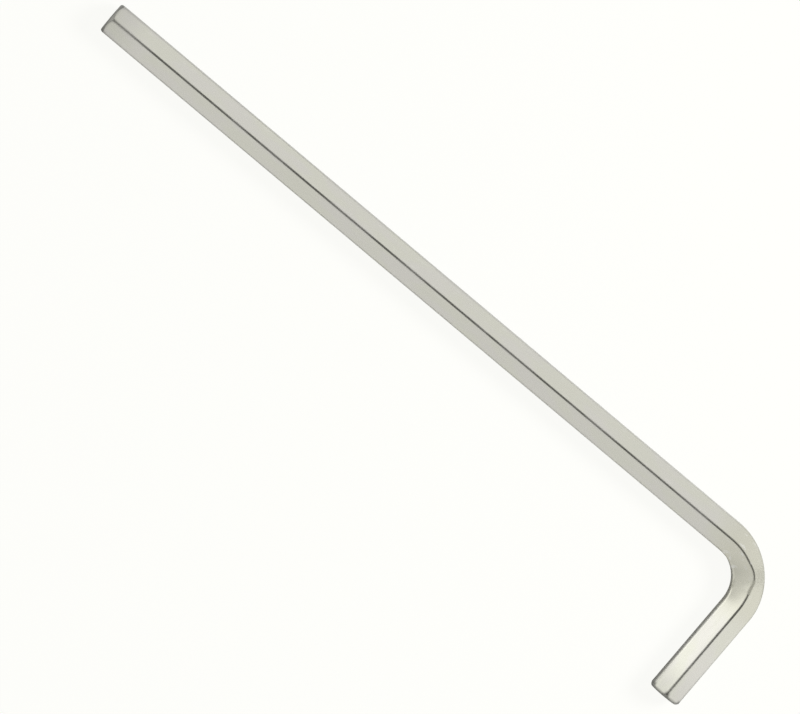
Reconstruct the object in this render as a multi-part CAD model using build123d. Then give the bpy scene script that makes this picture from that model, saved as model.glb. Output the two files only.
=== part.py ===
from build123d import *
import math
import os

# A hex key: one length of hexagonal steel bar, bent once through a right angle, with a chamfered
# tip at each end. Lengths are in millimetres.
# The long arm runs along +X and the short arm along +Y. The bar lies on its lower ridge, with two
# of its flats upright, so the plane of the bend is parallel to the XY plane.
# The origin is under the middle of the whole key, on the plane that it lies on.

across_flats = 8.0  # driving size: width of the bar between opposite flats
long_arm_length = 210.0  # outer flat of the short arm to the tip of the long arm
short_arm_length = 43.5  # outer flat of the long arm to the tip of the short arm
bend_radius = 12.5  # middle line of the bar
edge_radius = 0.75  # rounding along the six ridges of the bar
tip_chamfer = 0.8  # length of the turned chamfer where it meets the ridges
tip_slope = 45.0  # degrees between the chamfer and the bar's axis
outer_thinning = 0.2  # how far the outer flat is drawn in at the middle of the bend
bend_turn = 90.0  # degrees from one arm to the other
section_steps = 12  # equal steps round the bend from one lofted section to the next

half_flats = across_flats / 2
corner_radius = across_flats / math.sqrt(3)
# The rounding takes this much off the distance from the axis to a sharp corner.
ridge_radius = corner_radius - edge_radius * (2 / math.sqrt(3) - 1)

# Bending stretches the outside and squeezes the inside of the bar, so its upper and lower ridges
# move out to the radius that parts the section into two rings of equal volume.
ridge_drift = math.hypot(bend_radius, half_flats) - bend_radius

# Places in the row's frame, worked out from the key's own box.
axis_height = ridge_radius
outer_face_x = -long_arm_length / 2
outer_face_y = -short_arm_length / 2
short_axis_x = outer_face_x + half_flats
long_axis_y = outer_face_y + half_flats
bend_centre = Vector(short_axis_x + bend_radius, long_axis_y + bend_radius, axis_height)
long_run = long_arm_length / 2 - bend_centre.X
short_run = short_arm_length / 2 - bend_centre.Y


def bar_section(plane, strain):
    """Rounded hexagon on a plane whose x axis points out of the bend.

    strain is 0 for the straight bar and 1 for the middle of the bend.
    """
    side = corner_radius / 2
    ridge_x = ridge_drift * strain
    outer_x = half_flats - outer_thinning * strain
    corners = [
        (ridge_x, corner_radius),
        (-half_flats, side),
        (-half_flats, -side),
        (ridge_x, -corner_radius),
        (outer_x, -side),
        (outer_x, side),
    ]
    hexagon = make_face(Polyline(*corners, close=True))
    return plane * fillet(hexagon.vertices(), edge_radius)


def bend_plane(turn):
    """Plane across the bar after a turn in degrees from the long arm, facing the short arm."""
    outward = Vector(0, -1, 0).rotate(Axis.Z, -turn)
    along = Vector(-1, 0, 0).rotate(Axis.Z, -turn)
    return Plane(origin=bend_centre + outward * bend_radius, x_dir=outward, z_dir=along)


def bend():
    """The curved stretch, lofted through sections that change shape and change back."""
    sections = []
    for step in range(section_steps + 1):
        share = step / section_steps
        strain = math.sin(math.pi * share) ** 2
        sections.append(bar_section(bend_plane(bend_turn * share), strain))
    return loft(sections)


def arm(plane, run):
    """A straight stretch of bar from a plane out to its chamfered tip."""
    bar = extrude(bar_section(plane, 0), amount=run)
    chamfer_depth = tip_chamfer * math.tan(math.radians(tip_slope))
    blank = Cylinder(ridge_radius, run, align=(Align.CENTER, Align.CENTER, Align.MIN))
    rim = blank.edges().filter_by(GeomType.CIRCLE).sort_by(Axis.Z)[-1]
    end_face = blank.faces().sort_by(Axis.Z)[-1]
    turned = chamfer(rim, chamfer_depth, tip_chamfer, reference=end_face)
    return bar & plane * turned


long_start = bend_plane(0)
long_plane = Plane(origin=long_start.origin, x_dir=long_start.x_dir, z_dir=-long_start.z_dir)
hex_key = arm(long_plane, long_run) + bend() + arm(bend_plane(bend_turn), short_run)

os.makedirs("parts", exist_ok=True)
export_step(hex_key, "parts/hex_key.step")
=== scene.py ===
import math

import bpy
from mathutils import Matrix, Vector


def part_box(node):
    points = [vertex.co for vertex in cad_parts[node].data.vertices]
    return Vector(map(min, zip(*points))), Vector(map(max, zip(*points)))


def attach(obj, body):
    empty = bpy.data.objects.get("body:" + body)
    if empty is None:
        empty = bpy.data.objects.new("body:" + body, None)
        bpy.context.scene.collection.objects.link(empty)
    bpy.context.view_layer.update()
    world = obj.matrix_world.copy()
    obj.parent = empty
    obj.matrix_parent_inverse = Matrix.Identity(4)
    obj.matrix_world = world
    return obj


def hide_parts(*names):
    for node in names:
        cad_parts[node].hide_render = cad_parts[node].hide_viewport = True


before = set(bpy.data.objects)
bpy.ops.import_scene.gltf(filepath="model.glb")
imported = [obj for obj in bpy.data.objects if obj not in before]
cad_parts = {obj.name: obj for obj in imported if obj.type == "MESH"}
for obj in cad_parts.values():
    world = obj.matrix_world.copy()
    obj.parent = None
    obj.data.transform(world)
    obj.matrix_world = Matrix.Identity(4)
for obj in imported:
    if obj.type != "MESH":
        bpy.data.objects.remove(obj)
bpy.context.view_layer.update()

mm = 0.001
rightAngle = math.radians(90)
paperWhite = (0.995, 0.995, 0.965, 1)  # what the view shows all round the key


class Wire:
    # Wraps a socket of a node tree: arithmetic on it adds Math nodes, make() adds any other node.
    def __init__(self, tree, socket=None):
        self.tree = tree
        self.socket = socket

    def make(self, kind, settings=None, inputs=None, output=0):
        # a node with its settings and the values or links of its sockets; a list links several
        node = self.tree.nodes.new(kind)
        for name, value in (settings or {}).items():
            setattr(node, name, value)
        for name, value in (inputs or {}).items():
            for part in value if isinstance(value, list) else [value]:
                if isinstance(part, Wire):
                    self.tree.links.new(part.socket, node.inputs[name])
                else:
                    node.inputs[name].default_value = part
        return Wire(self.tree, node.outputs[output] if len(node.outputs) else None)

    def math(self, operation, *values):
        # an operation on the values given, or else on this socket alone
        return self.make("ShaderNodeMath", {"operation": operation}, dict(enumerate(values or (self,))))

    def other(self, output):
        return Wire(self.tree, self.socket.node.outputs[output])

    def __add__(self, value):
        return self.math("ADD", self, value)

    def __radd__(self, value):
        return self.math("ADD", value, self)

    def __sub__(self, value):
        return self.math("SUBTRACT", self, value)

    def __rsub__(self, value):
        return self.math("SUBTRACT", value, self)

    def __mul__(self, value):
        return self.math("MULTIPLY", self, value)

    def __rmul__(self, value):
        return self.math("MULTIPLY", value, self)

    def __truediv__(self, value):
        return self.math("DIVIDE", self, value)

    def __neg__(self):
        return self.math("MULTIPLY", self, -1)

    def __pow__(self, value):
        return self.math("POWER", self, value)

    def __gt__(self, value):
        return self.math("GREATER_THAN", self, value)

    def least(self, value):
        return self.math("MINIMUM", self, value)

    def most(self, value):
        return self.math("MAXIMUM", self, value)

    def within(self, low=0, high=1):
        return self.most(low).least(high)

    def ramp(self, low, high):
        # 0 below low, 1 above high, eased in between
        return self.make(
            "ShaderNodeMapRange",
            {"interpolation_type": "SMOOTHSTEP"},
            {"Value": self, "From Min": low, "From Max": high},
        )

    def hump(self, start, crest, edge, end):
        # 1 from crest to edge, eased down to 0 at start and end
        return self.ramp(start, crest) * (1 - self.ramp(edge, end))

    def vector(self, x, y, z):
        return self.make("ShaderNodeCombineXYZ", None, {0: x, 1: y, 2: z})

    def split(self):
        parts = self.make("ShaderNodeSeparateXYZ", None, {0: self})
        return parts, parts.other(1), parts.other(2)

    def scaled(self, x, y, z):
        return self.make("ShaderNodeVectorMath", {"operation": "MULTIPLY"}, {0: self, 1: (x, y, z)})


barLook = {
    "edgeRadius": 0.75 * mm,  # rounding of the six ridges
    "bendRadius": 12.5 * mm,  # middle line of the bar
    "tipChamfer": 0.8 * mm,
    "tipRounding": 0.12 * mm,  # softness of the turned edges
    "ridgeDrift": 0.6 * mm,  # how far the bend pushes the upper and lower ridges out
    "outerThinning": 0.2 * mm,  # how far it draws the outer side in
    "toolStep": 0.6 * mm,  # step in the upper and lower ridges left by the bending tool
    "stepStart": math.radians(28),  # where in the bend the step begins to rise,
    "stepCrest": math.radians(49),  # is whole,
    "stepEdge": math.radians(51),  # begins to fall
    "stepEnd": math.radians(64),  # and is gone
    "innerSwell": 0.28 * mm,  # how far the squeezed inside of the bend bulges up and down
    "swellStart": math.radians(-12),  # the same places for the bulge, here just before the bend
    "swellCrest": math.radians(30),
    "swellEdge": math.radians(75),
    "swellEnd": math.radians(98),
    "weldGap": 0.002 * mm,  # points nearer than this become one
    "sideColumns": 16,  # faces across one flat with its two half ridges
    "ridgeColumns": 4,  # of those, faces in each half ridge
    "longRows": 90,  # faces along the long arm,
    "bendRows": 90,  # the bend
    "shortRows": 16,  # and the short arm
    "tipRows": 6,  # faces along each part of a turned end's outline
}


def treeInputs(tree, sizes):
    # named inputs of a geometry tree, with the identifiers that the modifier needs
    tree.interface.new_socket("Geometry", in_out="OUTPUT", socket_type="NodeSocketGeometry")
    places = {}
    for name, value in sizes.items():
        kind = "NodeSocketInt" if isinstance(value, int) else "NodeSocketFloat"
        made = tree.interface.new_socket(name, in_out="INPUT", socket_type=kind)
        places[name] = made.identifier
    entry = tree.nodes.new("NodeGroupInput")
    wires = {name: Wire(tree, entry.outputs[name]) for name in sizes}
    return wires, places


def storeAttribute(start, geometry, name, value, kind="FLOAT"):
    # keeps a value at each point of the mesh, for the plating to read
    return start.make(
        "GeometryNodeStoreNamedAttribute",
        {"data_type": kind, "domain": "POINT"},
        {"Geometry": geometry, "Name": name, "Value": value},
    )


def barMeasures(size):
    # distance of the ridges from the axis; then, along the straight bar from the long tip,
    # where the bend starts and ends and where the short tip is
    ridge = size["acrossFlats"] / math.sqrt(3) - size["edgeRadius"] * (2 / math.sqrt(3) - 1)
    bendStart = size["longArm"] - size["acrossFlats"] / 2 - size["bendRadius"]
    bendEnd = bendStart + size["bendRadius"] * rightAngle
    shortTip = bendEnd + size["shortArm"] - size["acrossFlats"] / 2 - size["bendRadius"]
    return ridge, bendStart, bendEnd, shortTip


def sectionPoint(across, size):
    # across runs from 0 to 1 round the bar; gives the outward and upward places of the hexagon
    sides = across * 6
    side = (sides + 0.0001).math("FLOOR")  # the small share keeps a side's first column on it
    place = sides - side
    ridgeShare = size["ridgeColumns"] / size["sideColumns"]
    closing = ((place - (1 - ridgeShare)) / ridgeShare).within()
    opening = ((ridgeShare - place) / ridgeShare).within()
    lean = (closing - opening) * math.radians(30)
    flatShare = ((place - ridgeShare) / (1 - ridgeShare * 2)).within()
    eased = flatShare.ramp(0, 1)
    core = size["acrossFlats"] / 2 - size["edgeRadius"]
    outward = core + size["edgeRadius"] * lean.math("COSINE")
    sideways = core * math.tan(math.radians(30)) * (eased * 2 - 1)
    sideways = sideways + size["edgeRadius"] * lean.math("SINE")
    turn = side * math.radians(60)
    cosine = turn.math("COSINE")
    sine = turn.math("SINE")
    return outward * cosine - sideways * sine, outward * sine + sideways * cosine


def turnedOutline(size, ridge, reach):
    # (distance from the axis, depth from the tip) of a turned end's corners, from its middle out
    faceRadius = ridge - size["tipChamfer"]
    soft = size["tipRounding"]
    slant = soft * math.sqrt(0.5)
    shoulder = reach - faceRadius
    return [
        (0, 0),
        (faceRadius - soft, 0),
        (faceRadius, 0),
        (faceRadius + slant, slant),
        (reach - slant, shoulder - slant),
        (reach, shoulder),
        (reach, shoulder + soft),
    ]


def straightBar(start, size, measures):
    # the bar before it is bent, from its long tip along x, with both ends turned
    ridge, bendStart, bendEnd, shortTip = measures
    x, y, _ = start.make("GeometryNodeInputPosition").split()
    row, column = x + 0.5, y + 0.5  # from 0 to 1 over a band of faces
    crowded = row.ramp(0, 1)  # rows that crowd towards both ends
    outward, upward = sectionPoint(column, size)
    reach = (outward * outward + upward * upward) ** 0.5
    outline = turnedOutline(size, ridge, reach)

    def stretch(rows, near, corner, far, share=row):
        # one band of faces; a corner pulls its middle into a curve
        grid = start.make(
            "GeometryNodeMeshGrid",
            None,
            {
                "Size X": 1.0,
                "Size Y": 1.0,
                "Vertices X": rows + 1,
                "Vertices Y": size["sideColumns"] * 6 + 1,
            },
        )
        back = 1 - share
        radius, depth = (
            near[i] * back * back + corner[i] * share * back * 2 + far[i] * share * share
            for i in range(2)
        )
        spot = start.vector(depth, outward * radius / reach, upward * radius / reach)
        return start.make("GeometryNodeSetPosition", None, {"Geometry": grid, "Position": spot})

    def straight(rows, near, far):
        # crowded rows keep the shading of the long faces flat
        return stretch(rows, near, [(near[i] + far[i]) * 0.5 for i in range(2)], far, crowded)

    def turnedEnd(tipPlace, direction):
        points = [(radius, tipPlace + depth * direction) for radius, depth in outline]
        bands = [
            straight(size["tipRows"], points[0], points[1]),
            stretch(size["tipRows"], points[1], points[2], points[3]),
            straight(size["tipRows"], points[3], points[4]),
            stretch(size["tipRows"], points[4], points[5], points[6]),
        ]
        return bands, points[6]

    def joined(parts):
        return start.make("GeometryNodeJoinGeometry", None, {"Geometry": parts})

    longEnd, longEdge = turnedEnd(0, 1)
    shortEnd, shortEdge = turnedEnd(shortTip, -1)
    middle = [
        straight(size["longRows"], longEdge, (reach, bendStart)),
        straight(size["bendRows"], (reach, bendStart), (reach, bendEnd)),
        straight(size["shortRows"], (reach, bendEnd), shortEdge),
    ]
    longPart = storeAttribute(start, joined(longEnd), "turned", 1.0)
    middlePart = storeAttribute(start, joined(middle), "turned", 0.0)
    shortPart = storeAttribute(start, joined(shortEnd), "turned", 1.0)
    # bands whose rows run from the long tip towards the short one come out facing inwards
    outwards = start.make("GeometryNodeFlipFaces", None, {"Mesh": joined([longPart, middlePart])})
    whole = joined([outwards, shortPart])
    closed = start.make(
        "GeometryNodeMergeByDistance", None, {"Geometry": whole, "Distance": size["weldGap"]}
    )
    place = start.make("GeometryNodeInputPosition")
    return storeAttribute(start, closed, "barPlace", place, "FLOAT_VECTOR")


def bendBar(start, size, measures, geometry):
    # takes (along, outward, upward) of the straight bar to the frame's x, y and z
    ridge, bendStart, _, shortTip = measures
    along, out, up = start.make("GeometryNodeInputPosition").split()
    freeTurn = (along - bendStart) / size["bendRadius"]
    for name, value in (("fromTip", along.least(shortTip - along)), ("bendTurn", freeTurn)):
        geometry = storeAttribute(start, geometry, name, value)

    def partOfBend(name):
        return freeTurn.hump(*(size[name + end] for end in ("Start", "Crest", "Edge", "End")))

    turn = freeTurn.within(0, rightAngle)
    rest = along - bendStart - turn * size["bendRadius"]
    strain = (turn * 2).math("SINE") ** 2  # 0 where the bend starts and ends, 1 in its middle
    sideHeight = ridge / 2  # half the height of an upright side
    height = up.math("ABSOLUTE")
    rise = ((height - sideHeight) / sideHeight).within()
    drift = size["ridgeDrift"] * strain + size["toolStep"] * partOfBend("step")
    thinning = size["outerThinning"] * strain * (out > 0)
    bentOut = out + drift * rise - thinning * (1 - rise)
    inside = (-out / (size["acrossFlats"] / 2)).within()
    swell = size["innerSwell"] * partOfBend("swell") * inside * inside
    bentUp = up + up.math("SIGN") * swell * (height / sideHeight).within()
    cosine = turn.math("COSINE")
    sine = turn.math("SINE")
    lever = size["bendRadius"] + bentOut
    centreX = size["acrossFlats"] / 2 + size["bendRadius"] - size["longArm"] / 2
    centreY = size["acrossFlats"] / 2 + size["bendRadius"] - size["shortArm"] / 2
    bentPlace = start.vector(
        centreX - lever * sine - rest * cosine,
        centreY - lever * cosine + rest * sine,
        bentUp + ridge,
    )
    return start.make("GeometryNodeSetPosition", None, {"Geometry": geometry, "Position": bentPlace})


def pieceFromTree(name, tree, places, values, material):
    # runs the tree on an empty object and keeps the result as a plain mesh
    host = bpy.data.objects.new(name + "Host", bpy.data.meshes.new(name + "Host"))
    bpy.context.scene.collection.objects.link(host)
    modifier = host.modifiers.new(tree.name, "NODES")
    modifier.node_group = tree
    for key, value in values.items():
        modifier[places[key]] = value
    graph = bpy.context.evaluated_depsgraph_get()
    mesh = bpy.data.meshes.new_from_object(host.evaluated_get(graph))
    host.modifiers.remove(modifier)
    bpy.data.objects.remove(host)
    mesh.name = name
    mesh.materials.clear()
    mesh.materials.append(material)
    piece = bpy.data.objects.new(name, mesh)
    bpy.context.scene.collection.objects.link(piece)
    return piece


def buildBar(bar, material):
    # The bar is made straight, with its ends turned, and then bent, as the real one is.
    tree = bpy.data.node_groups.new("bentHexBar", "GeometryNodeTree")
    size, places = treeInputs(tree, bar)
    start = Wire(tree)
    measures = barMeasures(size)
    bent = bendBar(start, size, measures, straightBar(start, size, measures))
    smooth = start.make("GeometryNodeSetShadeSmooth", None, {"Geometry": bent})
    solid = start.make("GeometryNodeRealizeInstances", None, {"Geometry": smooth})
    finished = start.make("GeometryNodeSetMaterial", None, {"Geometry": solid, "Material": material})
    start.make("NodeGroupOutput", None, {"Geometry": finished})
    return pieceFromTree("hexKeyBar", tree, places, bar, material)


steelLook = {
    "colour": (0.62, 0.617, 0.559, 1),  # satin plating
    "cool": (0.623, 0.612, 0.58, 1),  # patches of it
    "dulled": (0.598, 0.59, 0.517, 1),  # plating stretched or squeezed by the bend
    "pale": (0.78, 0.775, 0.74, 1),  # plating bruised by the bending tool
    "paleShare": 0.6,  # how much of that colour a bruise takes
    "cutColourWithShade": (0.28, 0.278, 0.258, 1),  # tips, turned after the bar was drawn: bare steel, made darker than its own colour as painted shade for the end faces and chamfers
    "lineGrain": (60, 1500, 1500),  # noise scales along and across the bar: drawn lines,
    "patchGrain": (90, 260, 260),  # patches of tint
    "speckGrain": (520, 900, 900),  # and specks
    "coolPatches": (0.38, 0.62),  # patch noise at which the cool tint starts and is full
    "rubbedPatches": (0.35, 0.7),  # and at which rubbing does
    "bruisedSpecks": (0.57, 0.66),  # and speck noise at which bruises do
    "dulledPart": (-0.6, 0.2, 1.4, 2.0),  # turn of the bend, in radians, over which plating is dull,
    "bruisedPart": (0, 0.2, 0.6, 0.9),  # is bruised most
    "pressedPart": (0.88, 0.95, 1.12, 1.22),  # and has its ridges pressed
    "otherBruises": 0.35,  # how strong bruises are on the rest of the bar
    "rubbedDepth": (0.02 * mm, 0.22 * mm),  # how far inside the ridges rubbing is full and ends,
    "bruisedDepth": (0.25 * mm, 0.55 * mm),  # bruises do
    "cornerDepth": (0.05 * mm, 0.35 * mm),  # and the darkening at the ends of the ridges does
    "cornerLength": (0.8 * mm, 1.9 * mm),  # the same, from the tip
    "rimLength": (0.45 * mm, 1.0 * mm),  # and for the painted shade along the turned rims
    "tipDarkLength": 11 * mm,
    "tipRubLength": 14 * mm,
    "tipDarkening": 0.24,  # how much darker the last of the short arm is,
    "rimPaintedShade": 0.35,  # the plating along its turned rim, as painted shade
    "cornerDarkening": 0.5,  # and the ends of its ridges
    "longTipShare": 0.5,  # how much of the first two the long arm has,
    "longCornerShare": 0.3,  # and of the third
    "outerDarkeningLoss": 0.7,  # how much of the tip darkening is missing on the short arm's outer side
    "outerDarkeningWidth": 1 * mm,  # how far either side of the upper ridge that comes in
    "wearPatchiness": 0.8,  # how much of the tip darkening comes and goes with the patches
    "roughness": 0.27,
    "cutRoughness": 0.36,
    "lineRoughness": 0.05,  # how much drawn lines change it,
    "speckRoughness": 0.04,  # and specks
    "bruised": 0.12,  # roughness added on bruises,
    "pressed": 0.35,  # where the bending tool slid over the ridges
    "rubbed": 0.2,  # and along worn ridges
    "rubbedByPatch": 0.6,  # how much of that comes in patches
    "rubbedByTip": 0.8,  # and towards the tips
    "reliefHeight": 0.01 * mm,  # of drawn lines and turning marks
    "reliefStrength": 0.12,
    "ringSpacing": 0.35 * mm,  # turning marks on the tips
    "ringRelief": 0.6,  # their height beside the lines'
}


def platedSteel(look, ridgeToAxis):
    material = bpy.data.materials.new("platedSteel")
    material.use_nodes = True
    tree = material.node_tree
    tree.nodes.clear()
    start = Wire(tree)

    def stored(name, output="Fac"):
        return start.make("ShaderNodeAttribute", {"attribute_name": name}, output=output)

    place = stored("barPlace", "Vector")
    turned = stored("turned").ramp(0.9, 1.0)  # keeps the cut colour off faces that only touch a tip
    fromTip = stored("fromTip")
    bendTurn = stored("bendTurn")
    shortArm = bendTurn > 0
    _, outward, upward = place.split()
    reach = (outward * outward + upward * upward) ** 0.5

    def noise(grain, detail):
        return start.make(
            "ShaderNodeTexNoise",
            None,
            {"Vector": place.scaled(*grain), "Scale": 1.0, "Detail": detail, "Roughness": 0.55},
        )

    def mixed(share, first, second):
        return start.make(
            "ShaderNodeMix", {"data_type": "RGBA"}, {"Factor": share, 6: first, 7: second}, output=2
        )

    def nearRidge(full, none):
        return 1 - (ridgeToAxis - reach).ramp(full, none)

    def nearTip(full, none):
        return 1 - fromTip.ramp(full, none)

    def byArm(longShare):
        # this much on the long arm, all of it on the short one
        return longShare + (1 - longShare) * shortArm

    lines = noise(look["lineGrain"], 3)
    patches = noise(look["patchGrain"], 2)
    specks = noise(look["speckGrain"], 3)

    bruise = specks.ramp(*look["bruisedSpecks"]) * nearRidge(*look["bruisedDepth"])
    bruise = bruise * (bendTurn.hump(*look["bruisedPart"]) + look["otherBruises"])
    colour = mixed(patches.ramp(*look["coolPatches"]), look["colour"], look["cool"])
    colour = mixed(bendTurn.hump(*look["dulledPart"]), colour, look["dulled"])
    colour = mixed(bruise * look["paleShare"], colour, look["pale"])

    # the plating is made darker towards the tips, more on the short arm and less on its outer side
    wear = nearTip(0, look["tipDarkLength"]) * look["tipDarkening"]
    wear = wear * (1 + (patches - 0.5) * look["wearPatchiness"])
    outerSide = outward.ramp(-look["outerDarkeningWidth"], look["outerDarkeningWidth"])
    wear = wear * (1 - outerSide * shortArm * look["outerDarkeningLoss"])
    # painted shade on the plating just beyond the turned rims, widening the dark ring at each tip
    rimPaintedShade = nearTip(*look["rimLength"]) * look["rimPaintedShade"]
    cornerDarkening = nearTip(*look["cornerLength"]) * nearRidge(*look["cornerDepth"]) * look["cornerDarkening"]
    wear = (wear + rimPaintedShade) * byArm(look["longTipShare"]) + cornerDarkening * byArm(look["longCornerShare"])
    colour = mixed(wear.within(), colour, (0, 0, 0, 1))
    # the turned tips take the cut colour: partly bare steel, partly painted shade
    colour = mixed(turned, colour, look["cutColourWithShade"])

    worn = patches.ramp(*look["rubbedPatches"]) * look["rubbedByPatch"]
    worn = (worn + nearTip(0, look["tipRubLength"]) * look["rubbedByTip"]).within()
    onRidges = look["rubbed"] * worn + look["pressed"] * bendTurn.hump(*look["pressedPart"])
    roughness = look["roughness"] + (look["cutRoughness"] - look["roughness"]) * turned
    roughness = roughness + (lines - 0.5) * look["lineRoughness"]
    roughness = roughness + (specks - 0.5) * look["speckRoughness"]
    roughness = roughness + onRidges * nearRidge(*look["rubbedDepth"]) + look["bruised"] * bruise

    rings = (reach * (2 * math.pi / look["ringSpacing"])).math("SINE") * look["ringRelief"]
    bump = start.make(
        "ShaderNodeBump",
        None,
        {
            "Strength": look["reliefStrength"],
            "Distance": look["reliefHeight"],
            "Height": lines * (1 - turned) + rings * turned,
        },
    )
    shader = start.make(
        "ShaderNodeBsdfPrincipled",
        None,
        {"Base Color": colour, "Metallic": 1.0, "Roughness": roughness, "Normal": bump},
    )
    start.make("ShaderNodeOutputMaterial", None, {"Surface": shader})
    return material


cameraLook = {
    "leanAcross": 5.0,  # degrees off straight down, towards the long tip
    "leanBack": 3.2,  # degrees towards the outer side of the long arm
    "longArmTurn": 140.05,  # direction of the long arm in the view, anticlockwise from the right
    "lens": 300,
    "sensor": 36,
    "viewWidth": 191.1 * mm,  # what the view spans at the bar
    "aimX": 0.1 * mm,  # shift of the view from the middle of the key
    "aimY": 0.1 * mm,
}


def addCamera(look, middle):
    back = Vector(
        (math.sin(math.radians(look["leanAcross"])), -math.sin(math.radians(look["leanBack"])), 0)
    )
    back.z = math.sqrt(1 - back.length_squared)
    along = Vector((1, 0, 0))
    along = (along - back * along.dot(back)).normalized()
    across = back.cross(along)
    turn = math.radians(look["longArmTurn"])
    right = along * math.cos(turn) - across * math.sin(turn)
    up = back.cross(right)
    data = bpy.data.cameras.new("camera")
    data.lens = look["lens"]
    data.sensor_width = look["sensor"]
    distance = look["viewWidth"] * data.lens / data.sensor_width
    data.clip_start = distance / 10
    data.clip_end = distance * 10
    camera = bpy.data.objects.new("camera", data)
    bpy.context.scene.collection.objects.link(camera)
    turned = Matrix((right, up, back)).transposed().to_4x4()
    aim = middle + Vector((look["aimX"], look["aimY"], 0))
    camera.matrix_world = Matrix.Translation(aim + back * distance) @ turned
    bpy.context.scene.camera = camera
    print("camera distance", round(distance, 3))


studioLook = {
    "longTipSide": 1.78,  # brightness of the walls that the steel mirrors
    "shortSide": 1.15,
    "outerSide": 1.02,
    "innerSide": 0.93,
    "ceiling": 0.1,
    "horizon": 0.12,
    "wallFoot": (-3, 6),  # degrees above level between which the walls begin
    "wallTop": (43, 55),  # and end
    "footShade": (0.1, 0.14),  # how much higher they begin on the inner side of the long arm
    "tipFootShade": 0.2,  # share of that on the long tip's side
    "cornerTop": (0.21, 0.15),  # how much higher they end between tip and inner sides, and opposite
    "panelSpan": (59, 69),  # degrees off the y axis where the long tip's bright panel starts, is full
    "panelTop": (38, 47),  # degrees above level between which the panel ends
    "floorShare": 0.6,  # how much of the floor's light comes from the lamp instead
}


def sineOf(degrees):
    return math.sin(math.radians(degrees))


def addSurroundings(look):
    world = bpy.data.worlds.new("studio")
    bpy.context.scene.world = world
    world.use_nodes = True
    tree = world.node_tree
    tree.nodes.clear()
    start = Wire(tree)
    x, y, z = start.make("ShaderNodeTexCoord").split()
    level = (1 - z * z).most(0.0001) ** 0.5  # never 0, so that straight up and down work too
    x, y = x / level, y / level  # which way round a direction points, whatever its height

    towardTip = x.within().ramp(*map(sineOf, look["panelSpan"]))
    away = (-x).within()
    outer = (-y).within()
    walls = (
        look["innerSide"]
        + (look["outerSide"] - look["innerSide"]) * outer * outer
        + (look["shortSide"] - look["innerSide"]) * away * away
    )
    panel = towardTip * (1 - z.ramp(*map(sineOf, look["panelTop"])))
    walls = walls + (look["longTipSide"] - walls) * panel

    shaded = (y.within() ** 2).most(towardTip * look["tipFootShade"])
    corner = ((x * y).within() * 2) ** 2
    foot = [sineOf(angle) + shaded * more for angle, more in zip(look["wallFoot"], look["footShade"])]
    top = [sineOf(angle) + corner * more for angle, more in zip(look["wallTop"], look["cornerTop"])]
    band = look["horizon"] + (walls - look["horizon"]) * z.ramp(*foot)
    glow = band + (look["ceiling"] - band) * z.ramp(*top)

    cameraRay = start.make("ShaderNodeLightPath")
    glow = glow * (1 - cameraRay.other("Is Diffuse Ray") * look["floorShare"])
    strength = glow + (1 - glow) * cameraRay
    background = start.make("ShaderNodeBackground", None, {"Color": paperWhite, "Strength": strength})
    start.make("ShaderNodeOutputWorld", None, {"Surface": background})
    print("studio nodes", len(tree.nodes))


lampLook = {
    "width": 0.35,
    "energy": 9,
    "direction": (-0.6, -0.6, 0.85),  # from the key
    "distance": 0.9,
}


def addLamp(look):
    # a soft lamp behind the bend; it only shapes the floor's shadow
    data = bpy.data.lights.new("softLamp", "AREA")
    data.shape = "DISK"
    data.size = look["width"]
    data.energy = look["energy"]
    lamp = bpy.data.objects.new("softLamp", data)
    bpy.context.scene.collection.objects.link(lamp)
    place = Vector(look["direction"]).normalized() * look["distance"]
    lamp.location = place
    lamp.rotation_mode = "QUATERNION"
    lamp.rotation_quaternion = place.to_track_quat("Z", "Y")
    lamp.visible_glossy = False
    print("lamp", look)


floorLook = {
    "radius": 3.0,
    "corners": 96,
    "colour": (0.85, 0.85, 0.84, 1),
    "glowShare": 0.94,  # how much of the floor near the key is plain glow, so that its shadow is faint
    "allGlow": (0.15, 0.7),  # distances at which the glow begins to grow and is all that shows
    "mirroredGlow": 0.08,  # how much of it the steel mirrors
    "mirroredDim": 0.25,  # how much of the mirrored floor is dim instead
    "dimColour": (0.2, 0.2, 0.2, 1),
}


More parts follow.
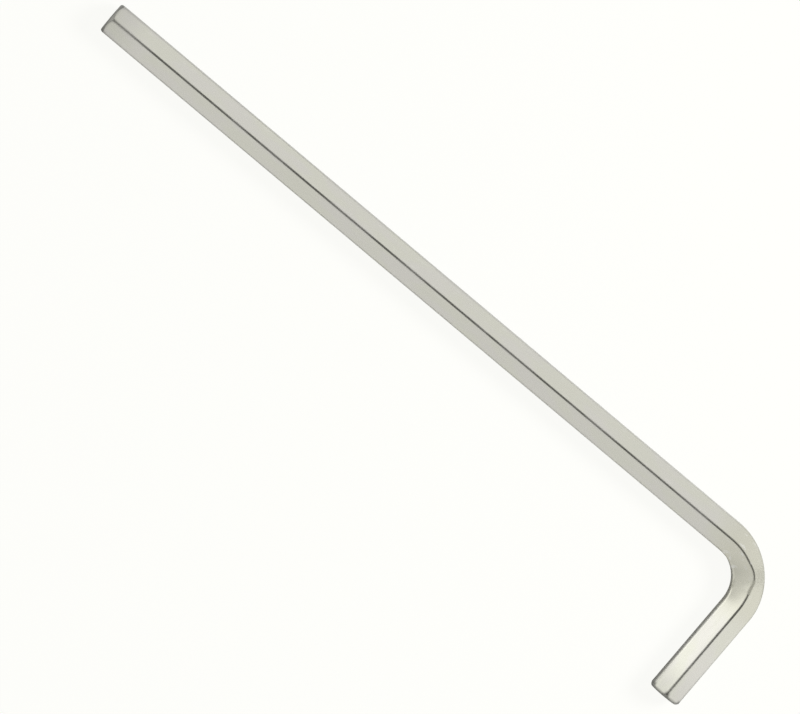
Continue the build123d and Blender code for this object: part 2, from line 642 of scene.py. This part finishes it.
def addFloor(look):
    mesh = bpy.data.meshes.new("floor")
    turns = [2 * math.pi * i / look["corners"] for i in range(look["corners"])]
    points = [(look["radius"] * math.cos(turn), look["radius"] * math.sin(turn), 0) for turn in turns]
    mesh.from_pydata(points, [], [list(range(look["corners"]))])
    floor = bpy.data.objects.new("floor", mesh)
    bpy.context.scene.collection.objects.link(floor)
    material = bpy.data.materials.new("paleFloor")
    material.use_nodes = True
    tree = material.node_tree
    tree.nodes.clear()
    start = Wire(tree)
    cameraRay = start.make("ShaderNodeLightPath")
    glossyRay = cameraRay.other("Is Glossy Ray")
    x, y, _ = start.make("ShaderNodeNewGeometry").split()
    far = ((x * x + y * y) ** 0.5).ramp(*look["allGlow"])
    glowShare = look["glowShare"] + far * (1 - look["glowShare"])
    pale = cameraRay * glowShare + glossyRay * look["mirroredGlow"]
    matte = start.make("ShaderNodeBsdfDiffuse", None, {"Color": look["colour"]})
    glow = start.make("ShaderNodeEmission", None, {"Color": paperWhite})
    dim = start.make("ShaderNodeBsdfDiffuse", None, {"Color": look["dimColour"]})
    surface = start.make("ShaderNodeMixShader", None, {0: pale, 1: matte, 2: glow})
    dimShare = glossyRay * look["mirroredDim"]
    surface = start.make("ShaderNodeMixShader", None, {0: dimShare, 1: surface, 2: dim})
    start.make("ShaderNodeOutputMaterial", None, {"Surface": surface})
    mesh.materials.append(material)
    print("floor radius", look["radius"])


low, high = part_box("hex_key")
ridgeToAxis = (high[2] - low[2]) / 2
bar = dict(barLook)
bar["longArm"] = high[0] - low[0]
bar["shortArm"] = high[1] - low[1]
bar["acrossFlats"] = (ridgeToAxis + bar["edgeRadius"] * (2 / math.sqrt(3) - 1)) * math.sqrt(3)
print("bar sizes", {name: round(value, 6) for name, value in bar.items()})

steel = platedSteel(steelLook, ridgeToAxis)
print("plating nodes", len(steel.node_tree.nodes))
piece = buildBar(bar, steel)
print("bar faces", len(piece.data.polygons))
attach(piece, "root")
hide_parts("hex_key")

addCamera(cameraLook, Vector((0, 0, ridgeToAxis)))
addSurroundings(studioLook)
addLamp(lampLook)
addFloor(floorLook)

bpy.context.scene.view_settings.view_transform = "Standard"
